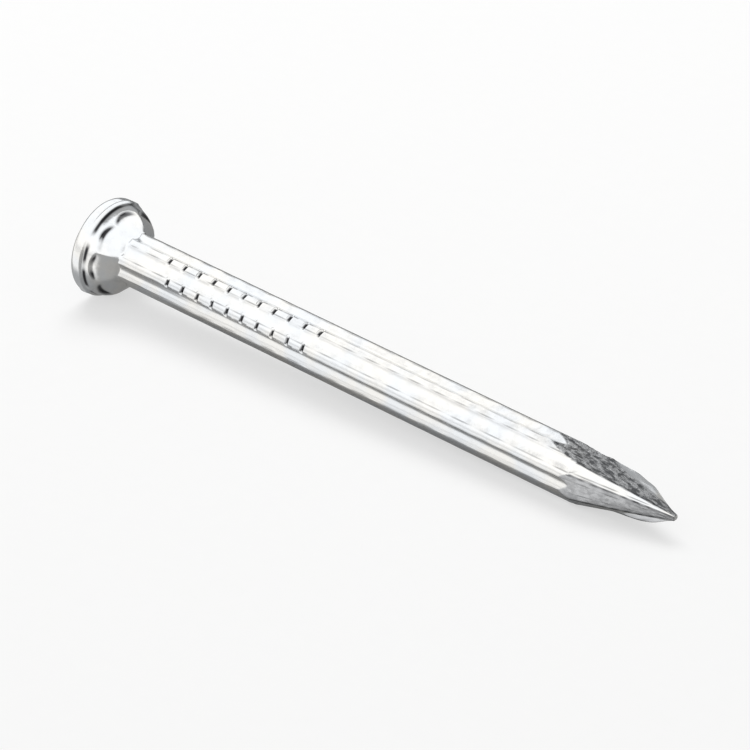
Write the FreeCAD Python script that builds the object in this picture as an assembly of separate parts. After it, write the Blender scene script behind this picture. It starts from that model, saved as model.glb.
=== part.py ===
"""Fluted masonry nail: one hardened steel forging inside a closed zinc plating.

The nail lies along X. The centre of the head's flat striking face is the origin, the face looks
along +X and the point is at X = -LENGTH. Angles about the axis count from +Y towards +Z. A flute
faces +Y, +Z, -Y and -Z, so the nail lies on two crests and its head. All sizes are in millimetres.
"""
import FreeCAD, Part
import math
import os

# Overall sizes: the zinc's outer surface.
LENGTH = 50.0
SHANK_DIAMETER = 4.0
HEAD_DIAMETER = 7.4

# Plating. Real electroplated zinc is about 0.008 thick; this is the thinnest skin that stays
# clear of its own inside once both of its surfaces are divided into flat triangles.
PLATING = 0.05

# Straight flutes along the shank.
FLUTES = 8
FLUTE_DEPTH = 0.21
CREST_WIDTH = 0.53

# Head: flat face, rounded rim, and behind a short step the neck. The neck's side bulges outward
# by NECK_BULGE between its two ends, and carries one level panel above every flute.
FACE_DIAMETER = 6.7
RIM_EDGE = 0.45
RIM_HEIGHT = 0.85
NECK_TOP = 1.1
NECK_TOP_DIAMETER = 7.04
HEAD_HEIGHT = 3.2
NECK_BASE_DIAMETER = 3.64
NECK_BULGE = 0.33
PANEL_START = 1.6
PANEL_WALL_RUN = 0.15
RIDGE_WIDTH = 0.22

# Grip notches. The wire was gripped along this angle while it was headed. Each gripped side has
# two staggered rows, on the crests beside the flute at that angle. A notch has a steep wall on
# the head's side and a ramp on the point's side.
GRIP_ANGLE = math.radians(45.0)
NOTCHES = 11
NOTCH_PITCH = 1.37
NOTCH_START = 6.9
NOTCH_FLOOR_WIDTH = 0.12
NOTCH_WALL_RUN = 0.05
NOTCH_RAMP_RUN = 0.20
NOTCH_DEPTH = 0.15

# Diamond point: facets towards +Y, +Z, -Y and -Z, which meet in lands that line up with the
# grip. Each facet starts this far from the tip, and the tip lies a little off the axis.
FACET_STARTS = (7.6, 9.2, 5.6, 8.2)
TIP_HALF_WIDTH = 0.20
TIP_SHIFT = 0.12
LAND_SHARE = 0.80

# Derived sizes.
FLUTE_PITCH = 2.0 * math.pi / FLUTES
SHANK_RADIUS = SHANK_DIAMETER / 2.0
HEAD_RADIUS = HEAD_DIAMETER / 2.0
CREST_HALF_ANGLE = CREST_WIDTH / SHANK_DIAMETER
CUTTER = 4.0 * HEAD_DIAMETER


def point(x, radius, angle):
    """A point at a station along the nail, by radius and angle about its axis (0 is +Y)."""
    return FreeCAD.Vector(x, radius * math.cos(angle), radius * math.sin(angle))


def turned(shape, angle):
    """The shape, turned about the nail's axis from +Y to an angle."""
    shape.rotate(FreeCAD.Vector(0, 0, 0), FreeCAD.Vector(1, 0, 0), math.degrees(angle))
    return shape


def fluted_wire(x, crest_radius):
    """Closed outline across the shank: a crest arc and a hollow flute arc for every flute."""
    edges = []
    for flute in range(FLUTES):
        middle = flute * FLUTE_PITCH
        flute_start = middle - FLUTE_PITCH / 2.0 + CREST_HALF_ANGLE
        flute_end = middle + FLUTE_PITCH / 2.0 - CREST_HALF_ANGLE
        crest_middle = middle + FLUTE_PITCH / 2.0
        crest_end = crest_middle + CREST_HALF_ANGLE
        bottom = point(x, crest_radius - FLUTE_DEPTH, middle)
        left = point(x, crest_radius, flute_start)
        right = point(x, crest_radius, flute_end)
        edges.append(Part.Arc(left, bottom, right).toShape())
        crest = point(x, crest_radius, crest_middle)
        edges.append(Part.Arc(right, crest, point(x, crest_radius, crest_end)).toShape())
    return Part.Wire(edges)


def neck_radius(x, inset):
    """Radius of the neck's bulging side: an arc through its two ends, moved inward by inset."""
    run = HEAD_HEIGHT - NECK_TOP
    rise = (NECK_TOP_DIAMETER - NECK_BASE_DIAMETER) / 2.0
    chord = math.hypot(run, rise)
    bend = (chord ** 2 / 4.0 + NECK_BULGE ** 2) / (2.0 * NECK_BULGE)
    inward = (bend - NECK_BULGE) / chord
    centre_x = -(NECK_TOP + HEAD_HEIGHT) / 2.0 + inward * rise
    centre_radius = (NECK_TOP_DIAMETER + NECK_BASE_DIAMETER) / 4.0 - inward * run
    return centre_radius + math.sqrt((bend - inset) ** 2 - (x - centre_x) ** 2)


def head_blank(inset):
    """The round head before its panels: face, rounded rim, step and neck, turned about X."""
    rim_front = FreeCAD.Vector(-RIM_EDGE, HEAD_RADIUS - inset, 0)
    rim_back = FreeCAD.Vector(-RIM_HEIGHT, HEAD_RADIUS - inset, 0)
    face_edge = FreeCAD.Vector(-inset, FACE_DIAMETER / 2.0 - inset, 0)
    round_middle = FreeCAD.Vector(
        face_edge.x - 0.3 * RIM_EDGE,
        face_edge.y + 0.72 * (rim_front.y - face_edge.y),
        0,
    )
    neck_middle = -(NECK_TOP + HEAD_HEIGHT) / 2.0
    neck = [FreeCAD.Vector(x, neck_radius(x, inset), 0)
            for x in (-NECK_TOP, neck_middle, -HEAD_HEIGHT)]
    centre = FreeCAD.Vector(-inset, 0, 0)
    root = FreeCAD.Vector(-HEAD_HEIGHT, 0, 0)
    outline = Part.Wire([
        Part.makeLine(centre, face_edge),
        Part.Arc(face_edge, round_middle, rim_front).toShape(),
        Part.makeLine(rim_front, rim_back),
        Part.makeLine(rim_back, neck[0]),
        Part.Arc(*neck).toShape(),
        Part.makeLine(neck[2], root),
        Part.makeLine(root, centre),
    ])
    return Part.Face(outline).revolve(FreeCAD.Vector(0, 0, 0), FreeCAD.Vector(1, 0, 0), 360)


def panel_cutter(angle, inset):
    """Waste above one panel: level across, curved along like the neck, with a sloped end wall."""
    edge_angle = FLUTE_PITCH / 2.0 - RIDGE_WIDTH / NECK_TOP_DIAMETER
    start = -PANEL_START + inset
    foot = start - PANEL_WALL_RUN
    end = -HEAD_HEIGHT - PANEL_WALL_RUN
    floor = [FreeCAD.Vector(x, neck_radius(x, inset) * math.cos(edge_angle), -HEAD_RADIUS)
             for x in (foot, (foot + end) / 2.0, end)]
    wall_top = FreeCAD.Vector(start, neck_radius(start, inset), -HEAD_RADIUS)
    outer_start = FreeCAD.Vector(start, HEAD_DIAMETER, -HEAD_RADIUS)
    outer_end = FreeCAD.Vector(end, HEAD_DIAMETER, -HEAD_RADIUS)
    outline = Part.Wire([
        Part.Arc(*floor).toShape(),
        Part.makeLine(floor[2], outer_end),
        Part.makeLine(outer_end, outer_start),
        Part.makeLine(outer_start, wall_top),
        Part.makeLine(wall_top, floor[0]),
    ])
    return turned(Part.Face(outline).extrude(FreeCAD.Vector(0, 0, HEAD_DIAMETER)), angle)


def head(inset):
    """Face, rim and neck, with a panel above every flute."""
    cutters = [panel_cutter(flute * FLUTE_PITCH, inset) for flute in range(FLUTES)]
    return head_blank(inset).cut(cutters)


def shank(inset):
    """The fluted shank, from inside the head's rim to the end of the tip."""
    start = -RIM_HEIGHT / 2.0
    wire = fluted_wire(start, SHANK_RADIUS - inset)
    return Part.Face(wire).extrude(FreeCAD.Vector(-LENGTH - start, 0, 0))


def notch(station, angle, inset):
    """Cutter for one grip notch across one crest: steep towards the head, ramped to the point."""
    top = SHANK_RADIUS + NOTCH_DEPTH
    floor = SHANK_RADIUS - NOTCH_DEPTH - inset
    rise = (top - floor) / NOTCH_DEPTH
    floor_half = NOTCH_FLOOR_WIDTH / 2.0 + inset
    across = 2.0 * CREST_WIDTH
    corners = [
        FreeCAD.Vector(station - floor_half, floor, -across / 2.0),
        FreeCAD.Vector(station + floor_half, floor, -across / 2.0),
        FreeCAD.Vector(station + floor_half + rise * NOTCH_WALL_RUN, top, -across / 2.0),
        FreeCAD.Vector(station - floor_half - rise * NOTCH_RAMP_RUN, top, -across / 2.0),
    ]
    face = Part.Face(Part.makePolygon(corners + corners[:1]))
    return turned(face.extrude(FreeCAD.Vector(0, 0, across)), angle)


def grip_notches(inset):
    """All grip notches. The second row of each side is staggered by half a pitch."""
    cutters = []
    for side in (GRIP_ANGLE, GRIP_ANGLE + math.pi):
        for number in range(NOTCHES):
            station = -NOTCH_START - number * NOTCH_PITCH
            cutters.append(notch(station, side + FLUTE_PITCH / 2.0, inset))
        for number in range(NOTCHES - 1):
            station = -NOTCH_START - (number + 0.5) * NOTCH_PITCH
            cutters.append(notch(station, side - FLUTE_PITCH / 2.0, inset))
    return cutters


def plane_cutter(angle, tip_offset, slope, inset):
    """Block of waste outside one plane of the point, tip_offset from the axis at the tip."""
    block = Part.makeBox(2.0 * CUTTER, CUTTER, 2.0 * CUTTER,
                         FreeCAD.Vector(-CUTTER, 0, -CUTTER))
    block.rotate(FreeCAD.Vector(0, 0, 0), FreeCAD.Vector(0, 0, 1), math.degrees(math.atan(slope)))
    inward = inset * math.hypot(1.0, slope)
    block.translate(FreeCAD.Vector(-LENGTH, tip_offset - inward, 0))
    return turned(block, angle)


def facet(number):
    """A facet's angle about the axis, its distance from the axis at the tip, and its slope."""
    angle = number * math.pi / 2.0
    tip_offset = TIP_HALF_WIDTH + TIP_SHIFT * (math.sin(angle) - math.cos(angle))
    crest_edge = SHANK_RADIUS * math.cos(FLUTE_PITCH / 2.0)
    return angle, tip_offset, (crest_edge - tip_offset) / FACET_STARTS[number]


def point_cutters(inset):
    """Waste around the diamond point: the facets, the lands between them, and the tip's end."""
    facets = [facet(number) for number in range(len(FACET_STARTS))]
    cutters = []
    for (angle, offset, slope), (_, next_offset, next_slope) in zip(facets, facets[1:] + facets[:1]):
        land_offset = (offset + next_offset) / math.sqrt(2.0) * LAND_SHARE
        land_slope = (slope + next_slope) / math.sqrt(2.0) * LAND_SHARE
        cutters.append(plane_cutter(angle, offset, slope, inset))
        cutters.append(plane_cutter(angle + math.pi / 4.0, land_offset, land_slope, inset))
    tip_corner = FreeCAD.Vector(-LENGTH + inset - CUTTER, -CUTTER / 2.0, -CUTTER / 2.0)
    cutters.append(Part.makeBox(CUTTER, CUTTER, CUTTER, tip_corner))
    return cutters


def nail(inset):
    """The nail's whole outer form, moved inward by inset."""
    body = head(inset).fuse(shank(inset))
    body = body.cut(grip_notches(inset) + point_cutters(inset))
    return body.removeSplitter()


def steel_core():
    return nail(PLATING)


def zinc_plating():
    return nail(0.0).cut(nail(PLATING))


os.makedirs("parts", exist_ok=True)
for node, shape in (("steel_core", steel_core()), ("zinc_plating", zinc_plating())):
    print(node, "solids:", len(shape.Solids), "valid:", shape.isValid(),
          "volume in cubic mm:", round(shape.Volume, 2))
    shape.exportStep(os.path.join("parts", node + ".step"))
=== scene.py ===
"""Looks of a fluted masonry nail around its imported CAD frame.

The visible skin is one closed mesh of bright zinc. It is a stack of rings along the nail, from the
centre of the head's face to the end of the tip, and every ring is a radius by angle and station.
Sizes in the shape code are millimetres; the mesh is written in metres. "Station" is the distance
from the head's face towards the tip, and angles about the axis count from +Y towards +Z.
"""
import math
import bpy
import numpy as np
from mathutils import Matrix, Quaternion, Vector


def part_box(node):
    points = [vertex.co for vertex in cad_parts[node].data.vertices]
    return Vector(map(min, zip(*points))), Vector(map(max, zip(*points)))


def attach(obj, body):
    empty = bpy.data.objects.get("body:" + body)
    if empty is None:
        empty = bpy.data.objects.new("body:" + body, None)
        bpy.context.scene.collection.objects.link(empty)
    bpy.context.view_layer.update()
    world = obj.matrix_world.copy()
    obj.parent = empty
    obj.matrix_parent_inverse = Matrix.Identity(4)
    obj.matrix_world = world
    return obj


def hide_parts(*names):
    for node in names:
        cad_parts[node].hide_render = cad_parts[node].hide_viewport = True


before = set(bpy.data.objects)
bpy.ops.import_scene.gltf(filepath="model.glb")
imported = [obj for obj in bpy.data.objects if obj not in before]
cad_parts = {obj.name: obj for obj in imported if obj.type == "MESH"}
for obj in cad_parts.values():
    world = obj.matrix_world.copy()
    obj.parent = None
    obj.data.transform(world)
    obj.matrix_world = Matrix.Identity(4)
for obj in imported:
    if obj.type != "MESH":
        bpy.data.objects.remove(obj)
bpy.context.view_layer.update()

MM = 0.001

# Driving sizes. Length and head radius come from the frame, the rest follow the CAD design.
skin_low, skin_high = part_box("zinc_plating")
LENGTH = (skin_high.x - skin_low.x) / MM
HEAD_RADIUS = (skin_high.z - skin_low.z) / 2.0 / MM
SHANK_RADIUS = 2.0

# Shank.
FLUTES = 8
PITCH = 2.0 * math.pi / FLUTES
FLUTE_DEPTH = 0.21
CREST_HALF_ANGLE = 0.265 / SHANK_RADIUS
FLUTE_HALF_ANGLE = PITCH / 2.0 - CREST_HALF_ANGLE

# Head: face, rounded rim, short step, then the bulging neck with its panels.
FACE_RADIUS = HEAD_RADIUS - 0.35
RIM_EDGE = 0.45
RIM_HEIGHT = 0.85
RIM_CROWN = 0.012
NECK_TOP = 1.1
NECK_TOP_RADIUS = HEAD_RADIUS - 0.18
HEAD_HEIGHT = 3.2
NECK_BASE_RADIUS = 1.82
NECK_BULGE = 0.33
PANEL_START = 1.6
PANEL_WALL = 0.14
PANEL_ARCH = 0.30
RIDGE_WIDTH = 0.22

# Grip notches, which run along this angle and the one opposite.
GRIP_ANGLE = math.radians(45.0)
NOTCHES = 11
NOTCH_PITCH = 1.37
NOTCH_START = 6.9
NOTCH_FLOOR = 0.06
NOTCH_WALL = 0.05
NOTCH_RAMP = 0.20
NOTCH_DEPTH = 0.15

# Diamond point. The facets face +Y, +Z, -Y and -Z, and each starts this far from the tip. The
# corners between them lie at this angle and every quarter turn after it.
CORNER_ANGLE = math.radians(45.0)
FACET_STARTS = (7.6, 9.2, 5.6, 8.2)
FACET_BULGE = 0.05
FACET_RIPPLES = (0.002, 0.006, 0.004, 0.004)
# Each facet's roughness, which also darkens and mottles its colour: partly a rough cut finish, partly
# painted shade that differs from facet to facet.
FACET_COARSENESS_AND_SHADE = (0.15, 1.0, 0.7, 0.8)
TIP_HALF_WIDTH = 0.20
TIP_SHIFT = 0.12
LAND_SHARE = 0.80

# Blunt end, past the length: the last ring's place, its share of the size, and the middle's place.
TIP_CHAMFER = 0.015
TIP_SHRINK = 0.55
TIP_END = 0.02

# Ridges inside the flutes near the point: where they start and are full, from the tip.
RIDGE_ENDS = (9.0, 6.0)
RIDGE_HEIGHT = 0.10
RIDGE_SLOPE = 0.9

# Webs pinched out on two of the point's corners: the corner, the height, the half width, and
# how far from the tip the web ends, is full, is last full and starts.
DULL_WEB = (3, 0.36, math.radians(8.0), (0.0, 1.5, 1.7, 5.2))
BRIGHT_WEB = (1, 0.40, math.radians(6.5), (0.2, 2.8, 3.1, 6.4))

# Darkness of the painted shade and painted dark reflection lines, from 0 to 1.
FACET_EDGE_SHADE = 0.85
CREST_LINE_DARKNESS = 0.7
LAND_LINE_SHADE = 0.75
NOTCH_EDGE_SHADE = 0.8

# Rounding of the edge where two surfaces meet.
SHARP_EDGE = 0.015
SOFT_EDGE = 0.02

# Least cosine for a plane that turns edge-on, and a radius outside every surface.
LEAST_COSINE = 0.15
FAR_OUT = 10.0

# Rings of the mesh on the flat face and over its rounded edge.
FACE_RINGS = 27
EDGE_RINGS = 9

rng = np.random.default_rng(41)


# ---------------------------------------------------------------- shape helpers

def smooth_min(a, b, blend):
    """Lower of a and b, with the corner between them rounded over about blend."""
    share = np.clip(0.5 + 0.5 * (b - a) / blend, 0.0, 1.0)
    return b + (a - b) * share - blend * share * (1.0 - share)


def smooth_max(a, b, blend):
    """Higher of a and b, with the corner between them rounded over about blend."""
    return -smooth_min(-a, -b, blend)


def smooth_step(low, high, x):
    """0 at low and 1 at high, which may be the smaller of the two."""
    t = np.clip((x - low) / (high - low), 0.0, 1.0)
    return t * t * (3.0 - 2.0 * t)


def turn_from(angle, centre):
    """Signed angle from centre, between -pi and pi."""
    return (angle - centre + math.pi) % (2.0 * math.pi) - math.pi


def from_flute_centre(angle):
    """Signed angle from the nearest flute's centre line."""
    return (angle + PITCH / 2.0) % PITCH - PITCH / 2.0


def ripples(angle, station, waves, around, along):
    """Seeded sum of waves, about 1 high: around gives whole waves a turn, along waves a mm."""
    total = np.zeros(np.broadcast(angle, station).shape)
    for _ in range(waves):
        turns = rng.integers(around[0], around[1] + 1)
        per_mm = rng.uniform(*along) * rng.choice((-1.0, 1.0))
        phase = rng.uniform(0.0, 2.0 * math.pi)
        total = total + np.sin(turns * angle + 2.0 * math.pi * per_mm * station + phase)
    return total / math.sqrt(waves)


# ---------------------------------------------------------------- sections of the nail

def flute_number(angle):
    """Number of the flute, and of the neck's panel above it, that an angle belongs to."""
    return np.floor((angle + PITCH / 2.0) / PITCH).astype(int) % FLUTES


def shank_radius(angle, station):
    """Crests and hollow flutes of the drawn wire."""
    offset = from_flute_centre(angle)
    depth_by_flute = FLUTE_DEPTH * (1.0 + 0.10 * rng.uniform(-1.0, 1.0, FLUTES))
    wander = 1.0 + 0.03 * ripples(angle, station, 5, (0, 3), (0.02, 0.09))
    depth = depth_by_flute[flute_number(angle)] * wander
    hollow = SHANK_RADIUS - depth * (1.0 - (offset / FLUTE_HALF_ANGLE) ** 2)
    from_crest = (PITCH / 2.0 - np.abs(offset)) / CREST_HALF_ANGLE
    crest = SHANK_RADIUS - 0.012 * from_crest ** 2
    return smooth_min(hollow, crest, SOFT_EDGE)


def neck_profile(station):
    """Outer radius of rim and neck: a short step behind the rim, then one bulging arc."""
    run, fall = HEAD_HEIGHT - NECK_TOP, NECK_TOP_RADIUS - NECK_BASE_RADIUS
    chord = math.hypot(run, fall)
    bend = (chord ** 2 / 4.0 + NECK_BULGE ** 2) / (2.0 * NECK_BULGE)
    inward = (bend - NECK_BULGE) / chord
    centre_station = (NECK_TOP + HEAD_HEIGHT) / 2.0 - inward * fall
    centre_radius = (NECK_TOP_RADIUS + NECK_BASE_RADIUS) / 2.0 - inward * run
    along = np.clip(station, NECK_TOP, HEAD_HEIGHT + 0.1) - centre_station
    arc = centre_radius + np.sqrt(bend ** 2 - along ** 2)
    step = (HEAD_RADIUS - NECK_TOP_RADIUS) * (1.0 - smooth_step(RIM_HEIGHT, NECK_TOP, station))
    crown = np.clip((station - RIM_EDGE) / (RIM_HEIGHT - RIM_EDGE), 0.0, 1.0)
    return arc + step - RIM_CROWN * crown ** 2 - 2.0 * np.maximum(station - HEAD_HEIGHT - 0.1, 0.0)


PANEL_TURNS = rng.uniform(-0.03, 0.03, FLUTES)
PANEL_STARTS = PANEL_START + rng.uniform(-0.16, 0.16, FLUTES)
PANEL_TILTS = rng.uniform(-0.05, 0.05, FLUTES)


def panel_place(angle, station):
    """Share across the panel (-1 to 1 between its ridges) and distance past its arched end."""
    number = flute_number(angle)
    ridge = RIDGE_WIDTH / 2.0 / neck_profile(station)
    across = (from_flute_centre(angle) - PANEL_TURNS[number]) / (PITCH / 2.0 - ridge)
    end = PANEL_STARTS[number] + PANEL_ARCH * across ** 2
    return across, station - end


def neck_radius(angle, station):
    """Bulging neck with a flat panel above every flute, and narrow ridges between the panels."""
    outer = neck_profile(station)
    across, past_end = panel_place(angle, station)
    number = flute_number(angle)
    edge = np.cos(PITCH / 2.0 - RIDGE_WIDTH / 2.0 / outer)
    level = outer * edge / np.cos(from_flute_centre(angle) - PANEL_TURNS[number])
    depth = (outer - level) * (1.0 + PANEL_TILTS[number] * 4.0 * across)
    depth = smooth_max(depth, 0.0, 0.01) * smooth_step(0.0, PANEL_WALL, past_end)
    creases = np.zeros_like(depth)
    for _ in range(9):
        centre = rng.uniform(0.0, 2.0 * math.pi)
        width = math.radians(rng.uniform(1.5, 3.5))
        height = rng.uniform(-0.02, 0.025)
        reach = np.exp(-((station - rng.uniform(1.2, 2.4)) / 0.5) ** 2)
        creases = creases + height * reach * np.exp(-(turn_from(angle, centre) / width) ** 2)
    return outer - depth + creases


def list_grip_notches():
    """Every grip notch as crest angle, station, depth and slant, each a little different."""
    notches = []
    for side in (GRIP_ANGLE, GRIP_ANGLE + math.pi):
        for crest, first, count in ((PITCH / 2.0, 0.0, NOTCHES), (-PITCH / 2.0, 0.5, NOTCHES - 1)):
            for number in range(count):
                middle = NOTCH_START + (first + number) * NOTCH_PITCH + rng.uniform(-0.015, 0.015)
                depth = NOTCH_DEPTH * rng.uniform(0.72, 0.98)
                notches.append((side + crest, middle, depth, rng.uniform(-0.07, 0.07)))
    return notches


GRIP_NOTCHES = list_grip_notches()


def notch_share(angle, station, notch):
    """1 on a notch's floor, falling to 0 up its wall, its ramp and its ends."""
    crest, middle, _, slant = notch
    across = turn_from(angle, crest)
    near = 1.0 - smooth_step(0.17, 0.25, np.abs(across))
    along = station - middle + slant * across * SHANK_RADIUS
    wall = smooth_step(-NOTCH_FLOOR - NOTCH_WALL, -NOTCH_FLOOR, along)
    ramp = 1.0 - smooth_step(NOTCH_FLOOR, NOTCH_FLOOR + NOTCH_RAMP, along)
    return near * wall * ramp


def notch_floor(angle, station):
    """Radius of the grip notches' own surface, well above the crests where there is no notch."""
    lowest = np.full(np.broadcast(angle, station).shape, SHANK_RADIUS + 0.1)
    for notch in GRIP_NOTCHES:
        share = notch_share(angle, station, notch)
        floor = SHANK_RADIUS + 0.03 - (notch[2] + 0.03) * share
        lowest = np.where(share > 0.0, np.minimum(lowest, floor), lowest)
    return lowest


def facet_distances(station):
    """Distance from the axis of the point's four facets, which face +Y, +Z, -Y and -Z."""
    to_tip = LENGTH - station
    crest_cut = SHANK_RADIUS * math.cos(PITCH / 2.0)
    distances = []
    for number, start in enumerate(FACET_STARTS):
        facing = number * math.pi / 2.0
        tip = TIP_HALF_WIDTH + TIP_SHIFT * (math.sin(facing) - math.cos(facing))
        share = to_tip / start
        bulge = FACET_BULGE * np.clip(4.0 * share * (1.0 - share), 0.0, 1.0)
        distances.append(tip + (crest_cut - tip) * share + bulge)
    return distances


def facet_radii(angle, station):
    """Radius of each facet's own plane."""
    radii = []
    for number, distance in enumerate(facet_distances(station)):
        turn = turn_from(angle, number * math.pi / 2.0)
        radii.append(distance / np.maximum(np.cos(turn), LEAST_COSINE))
    return radii


def corner_radius(angle, station):
    """Radius of the lands, one flat on each corner between two facets."""
    distances = facet_distances(station)
    corners = np.full(np.broadcast(angle, station).shape, FAR_OUT)
    for number in range(4):
        turn = turn_from(angle, CORNER_ANGLE + number * math.pi / 2.0)
        reach = (distances[number] + distances[(number + 1) % 4]) / math.sqrt(2.0)
        land = reach * LAND_SHARE / np.maximum(np.cos(turn), LEAST_COSINE)
        corners = smooth_min(corners, land, SOFT_EDGE)
    return corners


def point_radius(angle, station):
    """Diamond point: four facets and a land on each corner."""
    facets = np.full(np.broadcast(angle, station).shape, FAR_OUT)
    for plane, ripple in zip(facet_radii(angle, station), FACET_RIPPLES):
        grain = ripple * ripples(angle, station, 6, (6, 16), (0.5, 1.6))
        facets = smooth_min(facets, plane + grain, SHARP_EDGE)
    return smooth_min(facets, corner_radius(angle, station), SHARP_EDGE)


def facet_shares(angle, station, radius, dull_web, bright_web):
    """How much a place lies on a facet, how rough and painted-shaded that facet is, and how near its
    painted-shade edge it is.

    The dull web looks like the facet beside it, and the bright one is plain plating.
    """
    cut = np.zeros_like(radius)
    coarse_and_shaded = np.zeros_like(radius)
    edge = np.zeros_like(radius)
    corners = corner_radius(angle, station)
    for plane, coarseness_and_shade in zip(facet_radii(angle, station), FACET_COARSENESS_AND_SHADE):
        above = radius - dull_web - plane
        on_plane = smooth_step(-0.06, -0.02, above) * smooth_step(0.12, 0.05, above)
        on_plane = on_plane * (1.0 - smooth_step(0.02, 0.07, bright_web))
        ragged = np.clip(0.65 + 0.35 * ripples(angle, station, 6, (1, 5), (0.2, 1.4)), 0.0, 1.0)
        cut = np.maximum(cut, on_plane)
        coarse_and_shaded = np.maximum(coarse_and_shaded, on_plane * coarseness_and_shade)
        # Painted shade along each facet's edge next to the lands.
        edge = np.maximum(edge, on_plane * smooth_step(0.10, 0.03, corners - plane) * ragged)
    on_web = smooth_step(0.02, 0.10, dull_web)
    return np.maximum(cut, on_web), coarse_and_shaded, edge * (1.0 - on_web)


def painted_land_line(angle, station):
    """Broken painted shade line along every land, a little away from the facet before it."""
    corners = corner_radius(angle, station)
    shade_line = np.zeros_like(corners)
    for number, plane in enumerate(facet_radii(angle, station)):
        turn = turn_from(angle, CORNER_ANGLE + number * math.pi / 2.0)
        on_land = smooth_step(CORNER_ANGLE, CORNER_ANGLE - 0.1, np.abs(turn))
        shade_line = np.maximum(shade_line, on_land * np.exp(-((plane - corners - 0.17) / 0.04) ** 2))
    to_tip = LENGTH - station
    along = smooth_step(1.2, 2.4, to_tip) * smooth_step(8.4, 6.8, to_tip)
    broken = np.clip(0.8 + 0.7 * ripples(angle, station, 6, (0, 2), (0.2, 0.9)), 0.0, 1.0)
    return shade_line * along * broken


def pinched_web(angle, station, web):
    """Thin web of metal pinched out between the point dies, along one of the point's corners."""
    corner, size, half_width, ends = web
    to_tip = LENGTH - station
    turn = turn_from(angle, CORNER_ANGLE + corner * math.pi / 2.0)
    ragged = 1.0 + 0.05 * ripples(np.zeros_like(angle), station, 7, (0, 0), (0.15, 0.7))
    along = smooth_step(ends[0], ends[1], to_tip) * smooth_step(ends[3], ends[2], to_tip)
    return size * ragged * along * np.exp(-(turn / half_width) ** 2)


def corner_fill(angle, station):
    """Ridges that the point dies raise inside the flutes in line with the corners."""
    ridge = np.zeros(np.broadcast(angle, station).shape)
    rise = smooth_step(*RIDGE_ENDS, LENGTH - station)
    for number in range(4):
        turn = turn_from(angle, CORNER_ANGLE + number * math.pi / 2.0)
        peak = SHANK_RADIUS - FLUTE_DEPTH + rise * RIDGE_HEIGHT
        across = np.abs(turn) * SHANK_RADIUS
        ridge = np.maximum(ridge, peak - RIDGE_SLOPE * across * rise - (1.0 - rise) * 0.4)
    return ridge


def body_radius(angle, station):
    """Everything behind the head's rounded rim edge, as one radius by angle and station."""
    shank = smooth_max(shank_radius(angle, station), corner_fill(angle, station), SOFT_EDGE)
    shank = smooth_min(shank, notch_floor(angle, station), SHARP_EDGE)
    radius = smooth_max(shank, neck_radius(angle, station), 0.08)
    radius = smooth_min(radius, point_radius(angle, station), SHARP_EDGE)
    waviness = 0.003 * ripples(angle, station, 14, (2, 9), (0.12, 0.7))
    return radius + waviness * smooth_step(0.6, 1.2, station)


def painted_crest_line(angle, station):
    """Faint broken painted dark reflection line along both edges of every crest."""
    offset = np.abs(from_flute_centre(angle)) - FLUTE_HALF_ANGLE
    broken = np.clip(0.55 + 0.45 * ripples(angle, station, 8, (2, 9), (0.05, 0.6)), 0.1, 1.0)
    on_shank = smooth_step(HEAD_HEIGHT, HEAD_HEIGHT + 0.5, station)
    return on_shank * broken * np.exp(-(offset / 0.014) ** 2)


def notch_shade(angle, station):
    """Painted shade inside every grip notch, and a painted shade line on the crest's outer edge just
    past it.
    """
    share = np.zeros(np.broadcast(angle, station).shape)
    for notch in GRIP_NOTCHES:
        crest, middle = notch[:2]
        across = turn_from(angle, crest)
        # Painted shade inside the notch.
        inside = smooth_step(0.35, 0.9, notch_share(angle, station, notch))
        inside = inside * smooth_step(0.14, 0.09, np.abs(across))
        outer = 1.0 if math.sin(2.0 * (crest - GRIP_ANGLE)) > 0.0 else -1.0
        # Painted shade line on the crest's outer edge, just past the notch.
        edge_line = np.exp(-((across * outer - CREST_HALF_ANGLE) / 0.02) ** 2)
        edge_line = edge_line * smooth_step(0.0, 0.1, station - middle) * smooth_step(0.7, 0.5, station - middle)
        share = np.maximum(share, np.maximum(inside, NOTCH_EDGE_SHADE * edge_line))
    return share


def painted_shade_share(angle, station):
    """Painted shade in the rim's step, the panels' corners and the notches, and painted dark
    reflection lines along crests.
    """
    across, past_end = panel_place(angle, station)
    broken = np.clip(1.0 + 0.8 * ripples(angle, station, 5, (3, 11), (0.1, 0.4)), 0.0, 1.0)
    # Painted shade in the corner where each panel's wall meets the neck, and in the step behind the
    # rim.
    panel_corner = np.exp(-((past_end - PANEL_WALL) / 0.11) ** 2) * (1.0 - np.abs(across) ** 3)
    rim_step = np.exp(-((station - NECK_TOP - 0.12) / 0.12) ** 2)
    share = broken * np.clip(1.5 * np.maximum(panel_corner, rim_step), 0.0, 1.0)
    # Painted dark reflection lines along the crests' edges.
    share = np.maximum(share, CREST_LINE_DARKNESS * painted_crest_line(angle, station))
    return np.maximum(share, notch_shade(angle, station))


def rim_outline(angle):
    """How far the rim stands out of round, and the thin flash where the head dies parted."""
    lobes = 0.010 * np.cos(2.0 * (angle - 0.7)) + 0.008 * np.cos(3.0 * angle + 1.1) - 0.015
    parting = np.zeros_like(angle)
    for side in (GRIP_ANGLE + math.pi / 2.0, GRIP_ANGLE - math.pi / 2.0):
        parting = parting + 0.06 * np.exp(-(turn_from(angle, side) / math.radians(2.6)) ** 2)
    return lobes + parting


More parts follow.
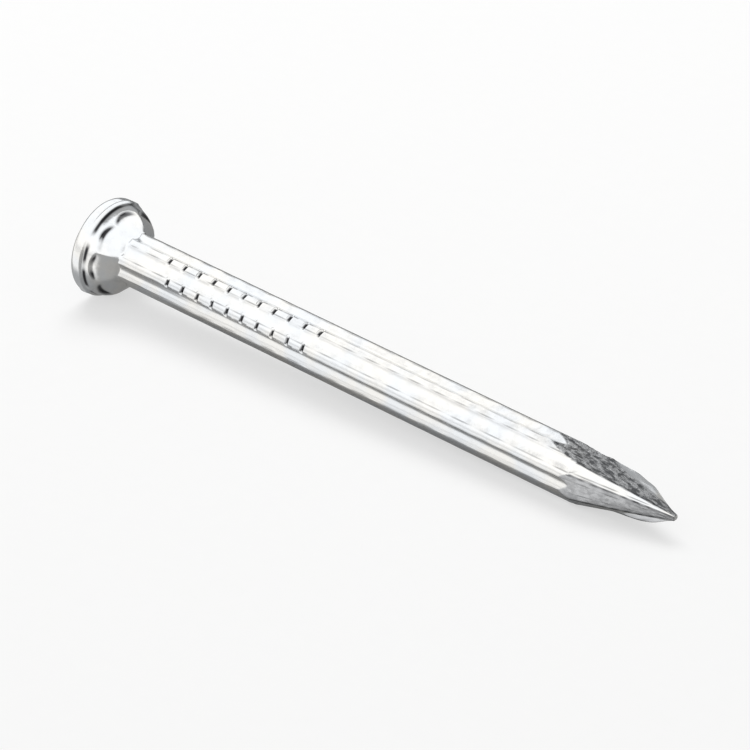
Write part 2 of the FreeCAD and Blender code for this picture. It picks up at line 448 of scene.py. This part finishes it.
def face_relief(x, y):
    """Small hammer-die dents and swells on the flat face, in mm along the nail."""
    relief = np.zeros_like(x)
    for _ in range(16):
        direction = rng.uniform(0.0, math.pi)
        per_mm = rng.uniform(0.15, 0.9)
        phase = rng.uniform(0.0, 2.0 * math.pi)
        along = x * math.cos(direction) + y * math.sin(direction)
        relief += 0.0022 * np.sin(2.0 * math.pi * per_mm * along + phase)
    for _ in range(7):
        cx, cy = rng.uniform(-2.6, 2.6, 2)
        size = rng.uniform(0.12, 0.35)
        depth = rng.uniform(0.006, 0.02)
        relief += depth * np.exp(-((x - cx) ** 2 + (y - cy) ** 2) / size ** 2)
    return relief


# ---------------------------------------------------------------- mesh

def ring_angles():
    """Angles of the mesh's long lines: even across a flute, with a close pair on each crest edge."""
    edge = FLUTE_HALF_ANGLE
    half = list(np.linspace(0.0, edge - 0.022, 8))
    half += [edge - 0.006, edge + 0.006]
    half += list(np.linspace(edge + 0.006, PITCH / 2.0, 4)[1:3])
    one = sorted([-a for a in half[1:]] + half + [PITCH / 2.0])
    return np.array([flute * PITCH + a for flute in range(FLUTES) for a in one])


def spaced(start, end, step):
    """Even places from start up to, but not including, end, about step apart."""
    count = round((end - start) / step)
    return list(np.linspace(start, end, count, endpoint=False))


def body_stations():
    """Stations of the rings behind the rim edge: closer where notches, neck and facets are."""
    notch_end = NOTCH_START + NOTCHES * NOTCH_PITCH
    stations = spaced(RIM_EDGE, HEAD_HEIGHT + 0.4, 0.045)
    stations += spaced(HEAD_HEIGHT + 0.4, NOTCH_START - 0.3, 0.3)
    stations += spaced(NOTCH_START - 0.3, notch_end, 0.066)
    stations += spaced(notch_end, LENGTH - 10.0, 0.35)
    stations += spaced(LENGTH - 10.0, LENGTH, 0.09)
    return np.array(stations + [LENGTH])


def plain_ring(station, radius):
    """A ring at one station as its stations, its radii, and no painted shade, no cut and no rough
    facet or facet shade.
    """
    none = np.zeros_like(radius)
    return np.full_like(radius, station), radius, none, none, none


def face_rings(outline):
    """Rings of the flat face, from its middle outwards, and of its rounded edge."""
    rings = []
    for share in np.linspace(0.0, 1.0, FACE_RINGS):
        rings.append(plain_ring(0.0, FACE_RADIUS * share + outline * share ** 8))
    for quarter in np.linspace(0.0, math.pi / 2.0, EDGE_RINGS)[1:-1]:
        rounded = FACE_RADIUS + (HEAD_RADIUS - FACE_RADIUS) * math.sin(quarter)
        rings.append(plain_ring(RIM_EDGE * (1.0 - math.cos(quarter)), rounded + outline))
    return rings


def body_rings(angles, outline):
    """Rings behind the face's edge, each as its stations, radii, painted shade, cut, and facet
    roughness with its painted shade.
    """
    angle, station = np.meshgrid(angles, body_stations())
    radius = body_radius(angle, station)
    dull_web = pinched_web(angle, station, DULL_WEB)
    bright_web = pinched_web(angle, station, BRIGHT_WEB)
    rim_share = 1.0 - smooth_step(RIM_EDGE, HEAD_HEIGHT * 0.7, station)
    radius += dull_web + bright_web + rim_share * outline
    # Painted shade in creases and notches, and painted dark lines along crests, facet edges and lands.
    painted_shade = painted_shade_share(angle, station)
    cut, coarse_and_shaded, facet_edge = facet_shares(angle, station, radius, dull_web, bright_web)
    # Painted shade along the facets' edges and painted shade lines on the lands.
    painted_shade = np.maximum(painted_shade, FACET_EDGE_SHADE * facet_edge)
    painted_shade = np.maximum(painted_shade, LAND_LINE_SHADE * painted_land_line(angle, station))
    return list(zip(station, radius, painted_shade, cut, coarse_and_shaded))


def skin_rings():
    """All rings from the face's middle to the tip: points, and each point's surface shares.

    The first ring has no radius and stands for the middle of the face.
    """
    angles = ring_angles()
    outline = rim_outline(angles)
    rings = face_rings(outline) + body_rings(angles, outline)
    rings.append(plain_ring(LENGTH + TIP_CHAMFER, rings[-1][1] * TIP_SHRINK))
    station, radius, *shares = (np.array(rows) for rows in zip(*rings))
    y, z = radius * np.cos(angles), radius * np.sin(angles)
    depth = station + face_relief(y, z) * (1.0 - smooth_step(0.0, 0.25, station))
    return np.stack((-depth, y, z), axis=-1), dict(zip(("painted_shade", "cut", "coarse_and_shaded"), shares))


def build_skin():
    """The closed skin as one mesh, with its surface shares stored as attributes."""
    rings, shares = skin_rings()
    middle, rings = rings[0, 0], rings[1:]
    ring_count, around, _ = rings.shape
    vertices = [tuple(middle)] + [tuple(p) for p in rings.reshape(-1, 3)]
    vertices.append((-LENGTH - TIP_END, 0.0, 0.0))
    faces = []
    for column in range(around):
        following = (column + 1) % around
        faces.append((0, 1 + column, 1 + following))
        for ring in range(ring_count - 1):
            here = 1 + ring * around
            below = here + around
            faces.append((here + column, below + column, below + following, here + following))
        last = 1 + (ring_count - 1) * around
        faces.append((last + column, len(vertices) - 1, last + following))
    mesh = bpy.data.meshes.new("zinc_skin")
    mesh.from_pydata([Vector(v) * MM for v in vertices], [], faces)
    for name, share in shares.items():
        attribute = mesh.attributes.new(name, "FLOAT", "POINT")
        attribute.data.foreach_set("value", np.concatenate(([0.0], share[1:].ravel(), [0.0])))
    mesh.update()
    mesh.shade_smooth()
    skin = bpy.data.objects.new("zinc_skin", mesh)
    bpy.context.scene.collection.objects.link(skin)
    return skin


skin = build_skin()
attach(skin, "root")
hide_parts("zinc_plating")


# ---------------------------------------------------------------- materials

# Brightness of the paper and the tent where the camera sees them.
BACKDROP = 0.985


class Nodes:
    """Short names for building a material's node tree."""

    def __init__(self, tree):
        self.tree = tree
        tree.nodes.clear()

    def add(self, kind, **settings):
        node = self.tree.nodes.new(kind)
        for name, value in settings.items():
            setattr(node, name, value)
        return node

    def link(self, source, target):
        self.tree.links.new(source, target)

    def math(self, operation, a, b=None, clamp=False):
        node = self.add("ShaderNodeMath", operation=operation, use_clamp=clamp)
        for socket, value in zip(node.inputs, (a, b)):
            if isinstance(value, (int, float)):
                socket.default_value = value
            elif value is not None:
                self.link(value, socket)
        return node.outputs[0]

    def span(self, value, low, high, to_low=0.0, to_high=1.0):
        """Value mapped smoothly from low..high to to_low..to_high."""
        node = self.add("ShaderNodeMapRange", interpolation_type="SMOOTHSTEP")
        self.link(value, node.inputs["Value"])
        for name, number in (("From Min", low), ("From Max", high),
                             ("To Min", to_low), ("To Max", to_high)):
            node.inputs[name].default_value = number
        return node.outputs["Result"]

    def noise(self, vector, scale, detail=3.0, roughness=0.55):
        node = self.add("ShaderNodeTexNoise")
        self.link(vector, node.inputs["Vector"])
        node.inputs["Scale"].default_value = scale
        node.inputs["Detail"].default_value = detail
        node.inputs["Roughness"].default_value = roughness
        return node.outputs["Fac"]

    def stretched(self, vector, scale, rotation=(0.0, 0.0, 0.0)):
        node = self.add("ShaderNodeMapping")
        self.link(vector, node.inputs["Vector"])
        node.inputs["Scale"].default_value = scale
        node.inputs["Rotation"].default_value = rotation
        return node.outputs["Vector"]

    def mix_color(self, share, a, b):
        node = self.add("ShaderNodeMix", data_type="RGBA")
        self.link(share, node.inputs["Factor"])
        for socket, value in ((node.inputs["A"], a), (node.inputs["B"], b)):
            if isinstance(value, tuple):
                socket.default_value = (*value, 1.0)
            else:
                self.link(value, socket)
        return node.outputs["Result"]

    def mix_value(self, share, a, b):
        node = self.add("ShaderNodeMix", data_type="FLOAT")
        self.link(share, node.inputs["Factor"])
        for socket, value in ((node.inputs["A"], a), (node.inputs["B"], b)):
            if isinstance(value, (int, float)):
                socket.default_value = value
            else:
                self.link(value, socket)
        return node.outputs["Result"]

    def share(self, name):
        """One of the mesh's own surface shares."""
        return self.add("ShaderNodeAttribute", attribute_name=name).outputs["Fac"]

    def bump(self, height, distance, strength, normal=None):
        node = self.add("ShaderNodeBump")
        self.link(height, node.inputs["Height"])
        node.inputs["Distance"].default_value = distance
        node.inputs["Strength"].default_value = strength
        if normal is not None:
            self.link(normal, node.inputs["Normal"])
        return node.outputs["Normal"]


def new_material(name):
    """An empty material and the short names for its node tree."""
    material = bpy.data.materials.new(name)
    material.use_nodes = True
    return material, Nodes(material.node_tree)


def object_mm(nodes):
    """Object coordinates in millimetres."""
    coordinates = nodes.add("ShaderNodeTexCoord").outputs["Object"]
    return nodes.stretched(coordinates, (1.0 / MM,) * 3)


def finish_metal(nodes, color, roughness, normal):
    """Bare metal with that colour, roughness and normal."""
    shader = nodes.add("ShaderNodeBsdfPrincipled")
    output = nodes.add("ShaderNodeOutputMaterial")
    nodes.link(color, shader.inputs["Base Color"])
    nodes.link(roughness, shader.inputs["Roughness"])
    nodes.link(normal, shader.inputs["Normal"])
    shader.inputs["Metallic"].default_value = 1.0
    nodes.link(shader.outputs["BSDF"], output.inputs["Surface"])


def zinc_color(nodes, place, on_face, cloud, mottle):
    """Cool and warm greys, duller on the head's face, darker and mottled on the facets as partly a
    rough cut finish and partly painted shade, and nearly black where painted shade and painted dark
    reflection lines lie.
    """
    tint = nodes.noise(place, 0.35, 2.0)
    speck = nodes.noise(place, 9.0, 3.0, 0.7)
    color = nodes.mix_color(nodes.span(tint, 0.38, 0.62), (0.73, 0.75, 0.77), (0.78, 0.77, 0.745))
    color = nodes.mix_color(nodes.span(cloud, 0.45, 0.75, 0.0, 0.35), color, (0.66, 0.67, 0.68))
    dull = nodes.mix_color(nodes.span(cloud, 0.35, 0.65), (0.40, 0.43, 0.46), (0.54, 0.555, 0.57))
    color = nodes.mix_color(on_face, color, dull)
    # Facets darker and mottled: partly a rough cut finish, partly painted shade.
    mottled = nodes.mix_color(nodes.span(mottle, 0.40, 0.60), (0.07, 0.073, 0.078), (0.58, 0.59, 0.60))
    cut_color_and_shade = nodes.mix_color(nodes.share("coarse_and_shaded"), (0.42, 0.425, 0.435), mottled)
    color = nodes.mix_color(nodes.math("MULTIPLY", nodes.share("cut"), 0.92), color, cut_color_and_shade)
    color = nodes.mix_color(nodes.span(speck, 0.68, 0.78, 0.0, 0.3), color, (0.45, 0.46, 0.47))
    # Nearly black painted shade and painted dark reflection lines.
    return nodes.mix_color(nodes.share("painted_shade"), color, (0.03, 0.03, 0.033))


def zinc_roughness(nodes, on_face, cloud, mottle, draw_lines):
    """Nearly a mirror along the shank, uneven on the facets and satin on the head's face."""
    roughness = nodes.span(cloud, 0.3, 0.7, 0.08, 0.20)
    roughness = nodes.math("ADD", roughness, nodes.span(draw_lines, 0.45, 0.75, 0.0, 0.10))
    on_facets = nodes.span(mottle, 0.35, 0.65, 0.42, 0.22)
    roughness = nodes.mix_value(nodes.share("cut"), roughness, on_facets)
    return nodes.mix_value(on_face, roughness, nodes.span(cloud, 0.3, 0.7, 0.34, 0.52))


def scratches(nodes, place, slant, across, along):
    """Fine streaks over the head's face that run at a slant, in radians."""
    slanted = nodes.stretched(place, (1.0, 1.0, 1.0), (slant, 0.0, 0.0))
    return nodes.noise(nodes.stretched(slanted, (1.0, across, along)), 1.0, 4.0, 0.6)


def zinc_normal(nodes, place, on_face, mottle, draw_lines):
    """Bumps: faint swells, drawing lines, scratches on the face and pits on the rough facets."""
    normal = nodes.bump(nodes.noise(place, 3.2, 2.0), 0.006 * MM, 1.0)
    normal = nodes.bump(draw_lines, 0.004 * MM, 1.0, normal)
    crossed = nodes.math("ADD", scratches(nodes, place, 0.5, 7.0, 0.8),
                         scratches(nodes, place, -0.9, 4.5, 0.7))
    normal = nodes.bump(nodes.math("MULTIPLY", crossed, on_face), 0.008 * MM, 1.0, normal)
    pits = nodes.math("ADD", mottle, nodes.noise(place, 7.0, 3.0))
    pits = nodes.math("MULTIPLY", pits, nodes.share("coarse_and_shaded"))
    return nodes.bump(pits, 0.030 * MM, 1.0, normal)


def zinc_material():
    """Bright electroplated zinc: mirror shank, satin head face, duller and mottled facets darkened
    partly by painted shade, and painted shade and dark lines in creases, notches and along edges.
    """
    material, nodes = new_material("bright_zinc_plate")
    place = object_mm(nodes)
    axes = nodes.add("ShaderNodeSeparateXYZ")
    nodes.link(place, axes.inputs[0])
    on_face = nodes.span(axes.outputs["X"], -0.12, -0.02)
    cloud = nodes.noise(place, 1.6, 4.0)
    mottle = nodes.noise(nodes.stretched(place, (0.8, 1.6, 1.6)), 2.2, 4.0, 0.62)
    draw_lines = nodes.noise(nodes.stretched(place, (0.12, 7.0, 7.0)), 1.0, 3.0, 0.6)
    color = zinc_color(nodes, place, on_face, cloud, mottle)
    roughness = zinc_roughness(nodes, on_face, cloud, mottle, draw_lines)
    normal = zinc_normal(nodes, place, on_face, mottle, draw_lines)
    finish_metal(nodes, color, roughness, normal)
    return material


def steel_material():
    """Dull drawn steel with a dark hardening film. It is hidden inside the plating."""
    material, nodes = new_material("hardened_steel")
    place = object_mm(nodes)
    film = nodes.noise(place, 1.2, 5.0)
    lines = nodes.noise(nodes.stretched(place, (0.2, 9.0, 9.0)), 1.0, 3.0)
    color = nodes.mix_color(nodes.span(film, 0.35, 0.65), (0.20, 0.20, 0.21), (0.34, 0.34, 0.35))
    roughness = nodes.span(lines, 0.3, 0.7, 0.38, 0.6)
    normal = nodes.bump(lines, 0.008 * MM, 1.0)
    finish_metal(nodes, color, roughness, normal)
    return material


def seen_floor(nodes, place, path):
    """The floor as the camera sees it: pale and matt, with its shadow lightened."""
    tooth = nodes.noise(place, 0.8, 3.0)
    color = nodes.mix_color(tooth, (0.86, 0.86, 0.855), (0.89, 0.89, 0.885))
    matt = nodes.add("ShaderNodeBsdfDiffuse")
    nodes.link(color, matt.inputs["Color"])
    paper = nodes.add("ShaderNodeEmission")
    paper.inputs["Color"].default_value = (BACKDROP, BACKDROP, BACKDROP, 1.0)
    distance = nodes.add("ShaderNodeVectorMath", operation="LENGTH")
    nodes.link(place, distance.inputs[0])
    faded = nodes.span(distance.outputs["Value"], 60.0, 350.0, 0.6, 1.0)
    blend = nodes.add("ShaderNodeMixShader")
    nodes.link(nodes.math("MULTIPLY", path.outputs["Is Camera Ray"], faded), blend.inputs[0])
    nodes.link(matt.outputs[0], blend.inputs[1])
    nodes.link(paper.outputs[0], blend.inputs[2])
    return blend.outputs[0]


def painted_floor_reflection(nodes, place):
    """The floor as the metal sees it: a glowing painted reflection, bright, with painted shadow under
    the nail and painted dark patches behind and beside it.
    """
    spot = nodes.add("ShaderNodeSeparateXYZ")
    nodes.link(place, spot.inputs[0])
    sideways = nodes.math("ABSOLUTE", spot.outputs["Y"])
    # Painted shadow under the shank and head, seen only in reflections.
    under_shank = nodes.span(sideways, 2.4, 4.2, 0.78, 0.0)
    under_head = nodes.span(sideways, 5.0, 10.0, 0.70, 0.0)
    near_head = nodes.span(spot.outputs["X"], -9.0, -3.0)
    under = nodes.mix_value(near_head, under_shank, under_head)
    # Painted dark patches far behind the nail and beside the neck.
    far_behind = nodes.span(spot.outputs["Y"], -9.0, -16.0, 0.0, 0.92)
    towards = nodes.add("ShaderNodeSeparateXYZ")
    nodes.link(nodes.add("ShaderNodeNewGeometry").outputs["Incoming"], towards.inputs[0])
    beside_neck = nodes.span(towards.outputs["X"], 0.10, 0.35, 0.0, 0.72)
    dimmed = nodes.math("MAXIMUM", nodes.math("MAXIMUM", under, far_behind), beside_neck)
    # Glowing painted reflection of the floor, seen only by glossy rays.
    painted_reflection = nodes.add("ShaderNodeEmission")
    nodes.link(nodes.span(dimmed, 0.0, 1.0, 1.3, 0.0), painted_reflection.inputs["Strength"])
    return painted_reflection.outputs[0]


def stage_material():
    """Pale matt studio floor, which the metal sees as a glowing painted reflection with painted shadow
    and dark patches.
    """
    material, nodes = new_material("pale_floor")
    place = object_mm(nodes)
    path = nodes.add("ShaderNodeLightPath")
    floor = nodes.add("ShaderNodeMixShader")
    nodes.link(nodes.math("MULTIPLY", path.outputs["Is Glossy Ray"], 0.7), floor.inputs[0])
    nodes.link(seen_floor(nodes, place, path), floor.inputs[1])
    nodes.link(painted_floor_reflection(nodes, place), floor.inputs[2])
    output = nodes.add("ShaderNodeOutputMaterial")
    nodes.link(floor.outputs[0], output.inputs["Surface"])
    return material


def only_material(piece, material):
    """Give the piece that material and no other."""
    piece.data.materials.clear()
    piece.data.materials.append(material)


only_material(skin, zinc_material())
only_material(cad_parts["steel_core"], steel_material())


# ---------------------------------------------------------------- floor, light, camera

FLOOR_RADIUS = 1.5
FLOOR_SIDES = 96
VIEW_AZIMUTH = 215.9
VIEW_ELEVATION = 32.0
VIEW_ROLL = 4.8
VIEW_DISTANCE = 0.25
FOCAL_LENGTH = 175.0
MIDDLE = Vector((-LENGTH / 2.0 * MM, 0.0, 0.0))


def floor_tilt(skin_object):
    """Lowest point of the head, and the tilt of a floor from there to the shank, in radians."""
    points = np.array([v.co for v in skin_object.data.vertices])
    head = points[points[:, 0] > -HEAD_HEIGHT * MM]
    foot = head[np.argmin(head[:, 2])]
    rest = points[points[:, 0] < -LENGTH / 2.0 * MM]
    slopes = (rest[:, 2] - foot[2]) / (rest[:, 0] - foot[0])
    return foot, math.atan(np.max(slopes))


def build_floor():
    """Round flat floor under the head's rim and the shank's end."""
    foot, tilt = floor_tilt(skin)
    turns = [2.0 * math.pi * side / FLOOR_SIDES for side in range(FLOOR_SIDES)]
    ring = [(FLOOR_RADIUS * math.cos(turn), FLOOR_RADIUS * math.sin(turn), 0.0) for turn in turns]
    mesh = bpy.data.meshes.new("floor")
    mesh.from_pydata(ring, [], [tuple(range(FLOOR_SIDES))])
    floor = bpy.data.objects.new("floor", mesh)
    bpy.context.scene.collection.objects.link(floor)
    floor.matrix_world = Matrix.Translation(Vector(foot)) @ Matrix.Rotation(-tilt, 4, "Y")
    only_material(floor, stage_material())


def build_world():
    """Studio tent: bright above, dim near the horizon behind the nail, one broad grey wall."""
    world = bpy.data.worlds.new("studio")
    bpy.context.scene.world = world
    world.use_nodes = True
    nodes = Nodes(world.node_tree)
    direction = nodes.add("ShaderNodeTexCoord").outputs["Generated"]
    axes = nodes.add("ShaderNodeSeparateXYZ")
    nodes.link(direction, axes.inputs[0])
    front = nodes.span(axes.outputs["Y"], -0.30, 0.30)
    above = nodes.span(axes.outputs["Z"], 0.05, 0.24)
    tent = nodes.mix_value(above, nodes.mix_value(front, 0.15, 0.70), 1.0)
    wall_start = nodes.span(axes.outputs["X"], -0.12, 0.02)
    wall_end = nodes.span(axes.outputs["X"], 0.36, 0.46, 1.0, 0.0)
    wall = nodes.math("MULTIPLY", wall_start, wall_end)
    wall = nodes.math("MULTIPLY", wall, nodes.span(axes.outputs["Y"], 0.10, 0.35, 1.0, 0.0))
    level = nodes.math("MULTIPLY", tent, nodes.span(wall, 0.0, 1.0, 1.0, 0.36))
    path = nodes.add("ShaderNodeLightPath")
    seen = nodes.mix_value(path.outputs["Is Glossy Ray"], 0.55, nodes.math("MULTIPLY", level, 1.35))
    seen = nodes.mix_value(path.outputs["Is Camera Ray"], seen, BACKDROP)
    background = nodes.add("ShaderNodeBackground")
    background.inputs["Color"].default_value = (1.0, 1.0, 1.0, 1.0)
    nodes.link(seen, background.inputs["Strength"])
    output = nodes.add("ShaderNodeOutputWorld")
    nodes.link(background.outputs[0], output.inputs["Surface"])


def softbox(name, place, size, power):
    """Rectangular lamp aimed at the nail's middle. The metal doesn't reflect it."""
    light = bpy.data.lights.new(name, "AREA")
    light.shape = "RECTANGLE"
    light.size, light.size_y = size
    light.energy = power
    lamp = bpy.data.objects.new(name, light)
    bpy.context.scene.collection.objects.link(lamp)
    lamp.location = place
    lamp.visible_glossy = False
    aim = MIDDLE - Vector(place)
    lamp.rotation_mode = "QUATERNION"
    lamp.rotation_quaternion = aim.to_track_quat("-Z", "Y")


def direction_from(azimuth, elevation):
    """Unit vector from the nail towards a viewer at that azimuth and elevation, in degrees."""
    a, e = math.radians(azimuth), math.radians(elevation)
    return Vector((math.sin(a) * math.cos(e), -math.cos(a) * math.cos(e), math.sin(e)))


def build_camera():
    """Long lens from the point's side, rolled a little in place of a roll of the nail itself."""
    data = bpy.data.cameras.new("camera")
    data.sensor_width = 36.0
    data.lens = FOCAL_LENGTH
    data.clip_start = 0.01
    data.clip_end = 10.0
    camera = bpy.data.objects.new("camera", data)
    bpy.context.scene.collection.objects.link(camera)
    back = direction_from(VIEW_AZIMUTH, VIEW_ELEVATION)
    camera.location = MIDDLE + back * VIEW_DISTANCE
    camera.rotation_mode = "QUATERNION"
    roll = Quaternion(back, math.radians(VIEW_ROLL))
    camera.rotation_quaternion = roll @ (-back).to_track_quat("-Z", "Y")
    bpy.context.scene.camera = camera


build_floor()
build_world()
softbox("key_softbox", (0.16, -0.14, 0.38), (0.35, 0.25), 1.3)
build_camera()
bpy.context.scene.view_settings.view_transform = "Standard"
